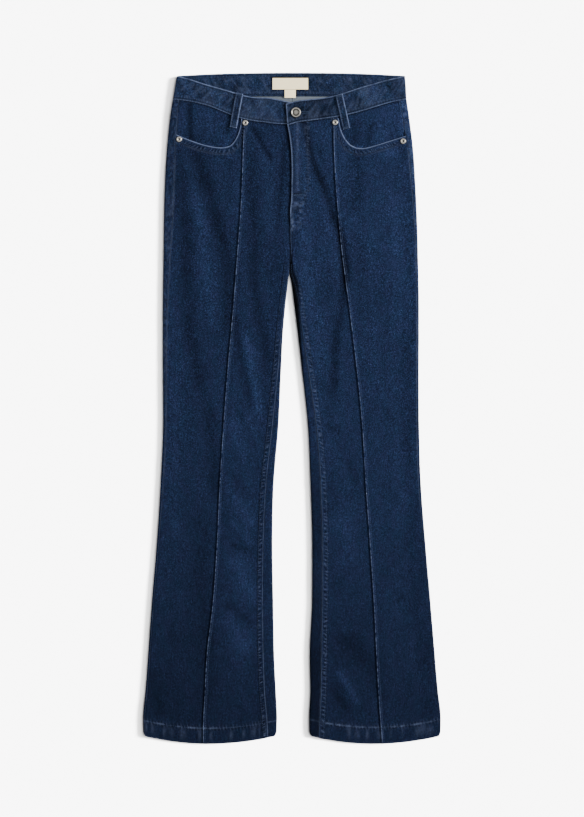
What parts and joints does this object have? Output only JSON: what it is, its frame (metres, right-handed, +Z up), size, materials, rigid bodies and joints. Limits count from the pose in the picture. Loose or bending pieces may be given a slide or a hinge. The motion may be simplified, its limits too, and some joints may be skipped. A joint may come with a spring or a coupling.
{
  "type": "pair of bootcut jeans",
  "caption": "Bootcut jeans laid flat on their back, with curved front pockets, pressed front tucks, a buttoned waistband with belt loops and slightly flared legs.",
  "frame": {"origin": "middle of the bounding box's underside, on the surface that the garment lies on", "axes": "+X to the wearer's left, +Y along the legs towards the waist, +Z up out of the front of the garment"},
  "size_m": [0.5054, 1.139, 0.0112],
  "materials": {
    "denim": "dark indigo twill, matt",
    "band_denim": "indigo twill, matt, a little worn",
    "zip_tape_cloth": "plain woven tape",
    "label_weave": "blank cream woven label",
    "worn_metal": "antique silver, plain, worn"
  },
  "bodies": {
    "root": {"back_left": "denim", "back_right": "denim", "belt_loop_back_centre": "band_denim", "belt_loop_back_left": "band_denim", "belt_loop_back_right": "band_denim", "belt_loop_front_left": "band_denim", "belt_loop_front_right": "band_denim", "button": "worn_metal", "front_left": "denim", "front_right": "denim", "label_main": "label_weave", "label_size": "label_weave", "pocket_facing_left": "denim", "pocket_facing_right": "denim", "rivet_side_left": "worn_metal", "rivet_side_right": "worn_metal", "rivet_waist_left": "worn_metal", "rivet_waist_right": "worn_metal", "waistband": "band_denim", "yoke_left": "denim", "yoke_right": "denim", "zip_slider": "worn_metal", "zip_tape": "zip_tape_cloth"}
  },
  "joints": []
}
